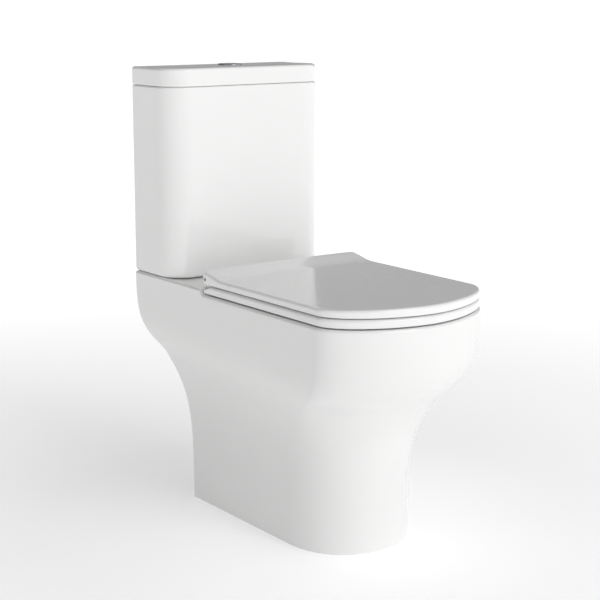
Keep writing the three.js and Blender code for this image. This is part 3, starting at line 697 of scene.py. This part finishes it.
# ---------- cistern ----------
class TOILET_OT_cistern_tank(bpy.types.Operator):
    """Cistern tank: thin-walled china box with large front corners"""
    bl_idname = "toilet.cistern_tank"
    bl_label = "Cistern tank"

    def execute(self, context):
        edge, lip = looks().tank_edge, 3.4
        rings = [at(cistern_outline(inset), TANK_BASE + edge - rise)
                 for inset, rise in reversed(roundover(edge))]
        rings += [at(cistern_outline(0), mix(TANK_BASE + edge, TANK_TOP - lip, i / 8))
                  for i in range(1, 8)]
        rings += [at(cistern_outline(inset), TANK_TOP - lip + rise)
                  for inset, rise in roundover(lip)]
        tank = to_piece(loft(rings), "cistern_tank_china")
        floor, cove, wall = TANK_BASE + 14, 10, 9
        hollow = [at(cistern_outline(wall + inset), floor + cove - rise)
                  for inset, rise in reversed(roundover(cove))]
        hollow += [at(cistern_outline(wall), TANK_TOP - lip),
                   at(cistern_outline(wall - lip), TANK_TOP),
                   at(cistern_outline(wall - lip), TANK_TOP + 1)]
        holes = ((31, 0), (FILL_HOLE, -FILL_SIDE),
                 (BOLT_HOLE, -COUPLING_HALF), (BOLT_HOLE, COUPLING_HALF))
        combine(tank, "DIFFERENCE", loft(hollow),
                *[drum(radius, TANK_BASE - 1, floor + 1, x, MIDDLE) for radius, x in holes])
        smooth(tank)
        place(tank, "pan_and_cistern", "glaze", "cistern_tank")
        return {"FINISHED"}


class TOILET_OT_cistern_lid(bpy.types.Operator):
    """Cistern lid: thick china slab, hollow below, with a locating lip and a button hole"""
    bl_idname = "toilet.cistern_lid"
    bl_label = "Cistern lid"

    def execute(self, context):
        edge, crown, foot = looks().cistern_lid_edge, 1.2, 2.8
        rings = [at(cistern_outline(inset), COVER_BASE + foot - rise)
                 for inset, rise in reversed(roundover(foot, 3))]
        rings += [at(cistern_outline(inset), COVER_TOP - crown - edge + rise)
                  for inset, rise in roundover(edge, 7)]
        flat = rings[-1]
        for share in (0.94, 0.86, 0.76, 0.64, 0.5):
            height = COVER_TOP - crown * ease((share - 0.5) / 0.5)
            across = 1 - (1 - share) * DEEP / WIDE
            rings.append([(x * across, MIDDLE + (y - MIDDLE) * share, height)
                          for x, y, _ in flat])
        lid = to_piece(loft(rings), "cistern_lid_china")
        under, cove, wall = COVER_TOP - 9, 8, 14
        hollow = [at(cistern_outline(wall), COVER_BASE - 1)]
        hollow += [at(cistern_outline(wall + inset), under - cove + rise)
                   for inset, rise in roundover(cove)]
        lip = [at(cistern_outline(inset), z) for inset, z in (
            (10.5, COVER_BASE - 7), (10.5, COVER_BASE + 2), (16, COVER_BASE + 2),
            (16, COVER_BASE - 7.4), (15, COVER_BASE - 8), (11.5, COVER_BASE - 8))]
        combine(lid, "DIFFERENCE", loft(hollow))
        combine(lid, "UNION", loft(lip, closed=True))
        combine(lid, "DIFFERENCE", drum(19, under - 1, COVER_TOP + 1, 0, MIDDLE))
        smooth(lid)
        place(lid, "cistern_lid", "glaze", "cistern_lid")
        return {"FINISHED"}


# ---------- button ----------
class TOILET_OT_button(bpy.types.Operator):
    """Dual flush button: bezel with a sleeve, and two halves that press down"""
    bl_idname = "toilet.button"
    bl_label = "Push button"

    def execute(self, context):
        bore, sleeve, flange = BUTTON_RADIUS + 0.5, BUTTON_RADIUS + 2.5, BUTTON_RADIUS + 7
        base = COVER_TOP + GAP
        bezel = to_piece(turned([
            (bore, COVER_TOP - 28), (sleeve, COVER_TOP - 28), (sleeve, base), (flange, base),
            (flange, base + 0.4), (flange - 0.5, base + 1.1), (flange - 1.6, base + 1.6),
            (bore + 1, base + 1.7), (bore + 0.25, base + 1.5), (bore, base + 1.1)],
            0, MIDDLE, 96), "button_bezel_chrome")
        smooth(bezel, 50)
        place(bezel, "cistern_lid", "chrome", "button_bezel")
        for side, flush in ((-1, "full_flush"), (1, "half_flush")):
            bm = drum(BUTTON_RADIUS, COVER_TOP - 6, COVER_TOP + 2, sides=96)
            bmesh.ops.bisect_plane(bm, geom=bm.verts[:] + bm.edges[:] + bm.faces[:], dist=0.001,
                                   plane_co=(BUTTON_SPLIT + side * 0.5, 0, 0),
                                   plane_no=(-side, 0, 0), clear_outer=True)
            bmesh.ops.holes_fill(bm, edges=[e for e in bm.edges if e.is_boundary])
            bmesh.ops.recalc_face_normals(bm, faces=bm.faces)
            soften(bm, 0.7, 4, 45)
            bmesh.ops.translate(bm, verts=bm.verts, vec=(0, MIDDLE, 0))
            half = to_piece(bm, flush + "_button_chrome")
            smooth(half, 40)
            place(half, flush + "_button", "chrome", flush + "_button")
        return {"FINISHED"}


# ---------- seat ----------
def seat_outline(inset, rear=-229.0):
    return d_outline(SEAT_HALF - inset, RIM_HALF - 2 - inset, rear - inset, -RIM_SHOULDER,
                     2 + inset - RIM_FRONT, 1.75)


def seat_hole(grow):
    """Opening of the seat ring, with as many points as the ring's outside."""
    return matched(seat_outline(0), oval(SEAT_HOLE_HALF + grow, grow - SEAT_HOLE_REAR,
                                         -SEAT_HOLE_FRONT - grow, 2.2))


def pin_bore(low=-SEAT_HALF - 5, high=SEAT_HALF + 5):
    """What the hinge pins leave open; at its full length it passes through a whole seat piece."""
    return barrel(PIN_BORE, low, high, -HINGE_BACK, HINGE_HEIGHT)


def hinge_lugs(start, width, top, rear_half):
    """A pair of rounded knuckles with the web that carries each of them."""
    tools = []
    for side in (-1, 1):
        reach = sorted((side * start, side * (start + width)))
        tools.append(barrel(HINGE_RADIUS, *reach, -HINGE_BACK, HINGE_HEIGHT, edge=0.8))
        tools.append(block([reach[0] + 0.4, reach[1] - 0.4],
                           (-HINGE_BACK - rear_half, -HINGE_BACK + 4), top))
    return tools


class TOILET_OT_seat_ring(bpy.types.Operator):
    """Seat ring: rounded D-shaped ring with hinge knuckles at its back"""
    bl_idname = "toilet.seat_ring"
    bl_label = "Seat ring"

    def execute(self, context):
        outer, inner, heel = 6, 7, 4
        rings = [at(seat_outline(inset), SEAT_BASE + heel - rise)
                 for inset, rise in reversed(roundover(heel))]
        rings += [at(seat_outline(inset), SEAT_TOP - outer + rise)
                  for inset, rise in roundover(outer)]
        rings += [at(seat_hole(grow), SEAT_TOP - inner + rise)
                  for grow, rise in reversed(roundover(inner, 6))]
        rings += [at(seat_hole(grow), SEAT_BASE + 2 - rise) for grow, rise in roundover(2, 3)]
        ring = to_piece(loft(rings, closed=True), "seat_ring_moulding")
        combine(ring, "DIFFERENCE",
                barrel(18.5, -SEAT_HALF - 5, SEAT_HALF + 5, -HINGE_BACK, HINGE_HEIGHT, 96))
        start = HINGE_HALF - HINGE_WIDE / 2 - 1 - LUG_WIDE
        combine(ring, "UNION", *hinge_lugs(start, LUG_WIDE, (SEAT_BASE + 4, HINGE_HEIGHT), 6))
        cuts = []
        for side in (-1, 1):
            middle, reach = side * HINGE_HALF, HINGE_WIDE / 2 + 1
            cuts.append(block((middle - reach, middle + reach), (-HINGE_BACK - 8, -228),
                              (SEAT_BASE - 1, HINGE_HEIGHT)))
            cuts += [drum(9.3, SEAT_BASE - 1, SEAT_BASE + 3.3, side * x, y)
                     for x, y in ((128, -340), (112, 103 - RIM_FRONT))]
        combine(ring, "DIFFERENCE", *cuts, pin_bore())
        smooth(ring)
        place(ring, "seat_ring", "seat_plastic", "seat_ring")
        return {"FINISHED"}


def lid_top(x, y):
    """Height of the lid: a slight crown, and a rise over the hinges at the back."""
    crown = 2 * max(1 - (x / SEAT_HALF) ** 2, 0)
    return LID_BASE + 12.5 + crown + 9.7 * ease((y + LID_REAR + 62) / 62)


class TOILET_OT_seat_lid(bpy.types.Operator):
    """Seat lid: thin crowned shell that rises over the hinges"""
    bl_idname = "toilet.seat_lid"
    bl_label = "Seat lid"

    def execute(self, context):
        edge = looks().lid_edge
        rings = [at(seat_outline(inset, -LID_REAR), LID_BASE + rise)
                 for inset, rise in ((0.9, 0), (0.2, 0.3), (0, 1))]
        for inset, rise in roundover(edge, 6):
            rings.append([(x, y, lid_top(x, y) - edge + rise)
                          for x, y in seat_outline(inset, -LID_REAR)])
        brim = rings[-1]
        centre = (2 - RIM_FRONT - LID_REAR) / 2
        for step in (4, 8, 12, 16, 20, 24, 28, 32, 37, 42, 48, 54, 60, 70, 90, 120, 150, 180, 205):
            share = 1 - step / (RIM_FRONT - LID_REAR) * 2
            ring = [(x * share, centre + (y - centre) * share) for x, y, _ in brim]
            rings.append([(x, y, lid_top(x, y)) for x, y in ring])
        bm = loft(rings, caps=(False, True))
        lid = to_piece(bm, "seat_lid_moulding")
        wall = lid.modifiers.new("wall", "SOLIDIFY")
        wall.thickness = 4 * MM
        wall.offset = -1
        bake(lid)
        cuts = []
        for side in (-1, 1):
            reach = sorted((side * (HINGE_HALF + HINGE_WIDE / 2 + 1),
                            side * (HINGE_HALF - HINGE_WIDE / 2 - LUG_WIDE - 3)))
            cuts.append(block(reach, (-LID_REAR - 6, 1 - LID_REAR),
                              (LID_BASE - 1, HINGE_HEIGHT + HINGE_RADIUS + 1.5)))
        combine(lid, "DIFFERENCE", *cuts)
        start = HINGE_HALF + HINGE_WIDE / 2 + 1
        combine(lid, "UNION", *hinge_lugs(start, LUG_WIDE, (HINGE_HEIGHT, HINGE_HEIGHT + 10.5), 5))
        combine(lid, "DIFFERENCE", pin_bore())
        smooth(lid)
        place(lid, "seat_lid", "seat_plastic", "seat_lid")
        return {"FINISHED"}


class TOILET_OT_hinges(bpy.types.Operator):
    """Hinge bases: a round foot, a short arm and a knuckle, in chrome"""
    bl_idname = "toilet.hinges"
    bl_label = "Hinge bases"

    def execute(self, context):
        foot, top, half = DECK + GAP, DECK + 4, HINGE_WIDE / 2
        for side, name in ((-1, "left"), (1, "right")):
            x = side * HINGE_HALF
            base = to_piece(drum(19, foot, top, x, -SEAT_BOLT_BACK, 96, 0.9),
                            f"hinge_base_{name}_chrome")
            combine(base, "UNION",
                    block((x - half, x + half), (-HINGE_BACK - 6, -SEAT_BOLT_BACK),
                          (foot, top), 0.6),
                    block((x - half, x + half), (-HINGE_BACK - 6, -HINGE_BACK + 6),
                          (foot + 0.1, HINGE_HEIGHT), 0.6),
                    barrel(HINGE_RADIUS, x - half, x + half, -HINGE_BACK, HINGE_HEIGHT, edge=0.6))
            combine(base, "DIFFERENCE",
                    pin_bore(x - 20, x + 20),
                    drum(4.3, foot - 1, top + 1, x, -SEAT_BOLT_BACK))
            smooth(base, 35)
            place(base, "pan_and_cistern", "chrome", f"hinge_base_{name}")
        return {"FINISHED"}


class TOILET_OT_fittings(bpy.types.Operator):
    """Finishes of the fittings that keep their own shape"""
    bl_idname = "toilet.fittings"
    bl_label = "Fittings"

    def execute(self, context):
        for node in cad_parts.values():
            slot = node.data.materials[0].name.split(".")[0]
            node.data.materials[0] = FINISHES[slot]()
        return {"FINISHED"}


# ---------- studio ----------
def lamp(name, spot, aim, size, power):
    """Rectangular soft light that faces a point."""
    data = bpy.data.lights.new(name, "AREA")
    data.shape = "RECTANGLE"
    data.size, data.size_y = size
    data.energy = power
    light = bpy.data.objects.new(name, data)
    light.location = spot
    light.rotation_euler = (Vector(aim) - Vector(spot)).to_track_quat("-Z", "Y").to_euler()
    bpy.context.scene.collection.objects.link(light)


def floor_with_painted_glow():
    """Pale floor with a painted glow: emission that grows with distance from the object, so the
    floor reads darker, as painted shade, around it.
    """
    colour = tuple(looks().floor_colour)
    material, tree, surface = shader("studio_floor", colour, 0.6)
    if tree:
        tint(tree, surface, noise(tree, 1.5, 2), shade(colour, 0.995), colour)
        where = tree.nodes.new("ShaderNodeTexCoord")
        away = tree.nodes.new("ShaderNodeVectorMath")
        away.operation = "LENGTH"
        tree.links.new(where.outputs["Object"], away.inputs[0])
        # painted glow: emission strength rises from 0.36 near the object to 0.72 far off, which
        # leaves painted shade on the floor around the object
        glow = spread(tree, away.outputs["Value"], 0.36, 0.72, 0.5, 2.6)
        surface.inputs["Specular IOR Level"].default_value = 0.2
        surface.inputs["Emission Color"].default_value = (1, 1, 1, 1)
        tree.links.new(glow, surface.inputs["Emission Strength"])
    return material


def studio_air(scene):
    """Soft light all round: brightest in front and to the right, dim behind and overhead."""
    world = bpy.data.worlds.new("studio_air")
    world.use_nodes = True
    tree = world.node_tree
    where = tree.nodes.new("ShaderNodeTexCoord")
    split = tree.nodes.new("ShaderNodeSeparateXYZ")
    tree.links.new(where.outputs["Generated"], split.inputs["Vector"])
    side = spread(tree, split.outputs["X"], 0.4, 1.0, -0.9, 0.5)
    depth = spread(tree, split.outputs["Y"], 1.08, 0.35, -0.5, 0.4)
    height = spread(tree, split.outputs["Z"], 1.0, 0.6, 0.1, 0.9)
    horizon = spread(tree, split.outputs["Z"], 1.2, 0, 0.008, 0.02)
    level = worked(tree, "MULTIPLY", worked(tree, "MULTIPLY", side, depth), height)
    background = tree.nodes["Background"]
    background.inputs["Color"].default_value = (1, 1, 1, 1)
    tree.links.new(worked(tree, "MAXIMUM", level, horizon), background.inputs["Strength"])
    scene.world = world
    scene.view_settings.view_transform = "Standard"


class TOILET_OT_stage(bpy.types.Operator):
    """Studio: pale floor, soft lights and the camera"""
    bl_idname = "toilet.stage"
    bl_label = "Studio"

    def execute(self, context):
        scene = context.scene
        bm = bmesh.new()
        bmesh.ops.create_grid(bm, x_segments=8, y_segments=8, size=150)
        mesh = bpy.data.meshes.new("studio_floor")
        bm.to_mesh(mesh)
        bm.free()
        floor = bpy.data.objects.new("studio_floor", mesh)
        scene.collection.objects.link(floor)
        mesh.materials.append(floor_with_painted_glow())

        lamp("key", (0.5, -4.2, 2.7), (0, 0, 0.45), (2.4, 2.4), 56)
        lamp("side", (-3.4, -0.2, 3.2), (0, 0, 0.7), (1.6, 1.6), 8)
        studio_air(scene)

        data = bpy.data.cameras.new("camera")
        data.sensor_width = 36
        data.lens = 85.95
        data.shift_y = -0.06
        data.clip_end = 400
        camera = bpy.data.objects.new("camera", data)
        camera.location = (-1.5268, WALL - 2.329, DECK * MM + 0.5065)
        camera.rotation_euler = (radians(90 - 10.489), 0, radians(-36.815))
        scene.collection.objects.link(camera)
        scene.camera = camera
        return {"FINISHED"}


class ToiletLooks(bpy.types.PropertyGroup):
    """Edge radii in millimetres, and the colours that a user would change."""
    rim_edge: bpy.props.FloatProperty(
        name="Rim edge", description="Radius of the outer edge of rim and deck, in mm",
        default=5, min=1, max=9)
    bowl_edge: bpy.props.FloatProperty(
        name="Bowl edge", description="Radius where the rim turns down into the bowl, in mm",
        default=9, min=2, max=11)
    tank_edge: bpy.props.FloatProperty(
        name="Tank edge", description="Radius of the tank's bottom edge, in mm",
        default=6, min=1, max=8)
    cistern_lid_edge: bpy.props.FloatProperty(
        name="Cistern lid edge", description="Radius of the cistern lid's top edge, in mm",
        default=5, min=1, max=9)
    lid_edge: bpy.props.FloatProperty(
        name="Seat lid edge", description="Radius of the seat lid's top edge, in mm",
        default=5, min=1, max=8)
    glaze_colour: bpy.props.FloatVectorProperty(
        name="Glaze colour", description="Colour of the glazed china", subtype="COLOR",
        default=(0.87, 0.87, 0.865), min=0, max=1)
    seat_colour: bpy.props.FloatVectorProperty(
        name="Seat colour", description="Colour of the seat ring and lid", subtype="COLOR",
        default=(0.88, 0.88, 0.88), min=0, max=1)
    button_colour: bpy.props.FloatVectorProperty(
        name="Plating colour", description="Colour of the plated button and hinges",
        subtype="COLOR", default=(0.5, 0.51, 0.53), min=0, max=1)
    floor_colour: bpy.props.FloatVectorProperty(
        name="Floor colour", description="Colour of the studio floor", subtype="COLOR",
        default=(0.93, 0.93, 0.93), min=0, max=1)


OPERATORS = (
    TOILET_OT_stage, TOILET_OT_pan, TOILET_OT_cistern_tank, TOILET_OT_cistern_lid,
    TOILET_OT_button, TOILET_OT_seat_ring, TOILET_OT_seat_lid, TOILET_OT_hinges,
    TOILET_OT_fittings,
)


class TOILET_PT_pieces(bpy.types.Panel):
    bl_idname = "TOILET_PT_pieces"
    bl_label = "Close coupled toilet"
    bl_space_type = "VIEW_3D"
    bl_region_type = "UI"
    bl_category = "Toilet"

    def draw(self, context):
        for name in ToiletLooks.__annotations__:
            self.layout.prop(context.scene.toilet_looks, name)
        for operator in OPERATORS:
            self.layout.operator(operator.bl_idname)


def register():
    for kind in (ToiletLooks, *OPERATORS, TOILET_PT_pieces):
        bpy.utils.register_class(kind)
    bpy.types.Scene.toilet_looks = bpy.props.PointerProperty(type=ToiletLooks)


def unregister():
    del bpy.types.Scene.toilet_looks
    for kind in (TOILET_PT_pieces, *reversed(OPERATORS), ToiletLooks):
        bpy.utils.unregister_class(kind)


def main():
    register()
    bpy.ops.toilet.stage()
    bpy.ops.toilet.pan()
    bpy.ops.toilet.cistern_tank()
    bpy.ops.toilet.cistern_lid()
    bpy.ops.toilet.button()
    bpy.ops.toilet.seat_ring()
    bpy.ops.toilet.seat_lid()
    bpy.ops.toilet.hinges()
    bpy.ops.toilet.fittings()


if __name__ == "__main__":
    main()
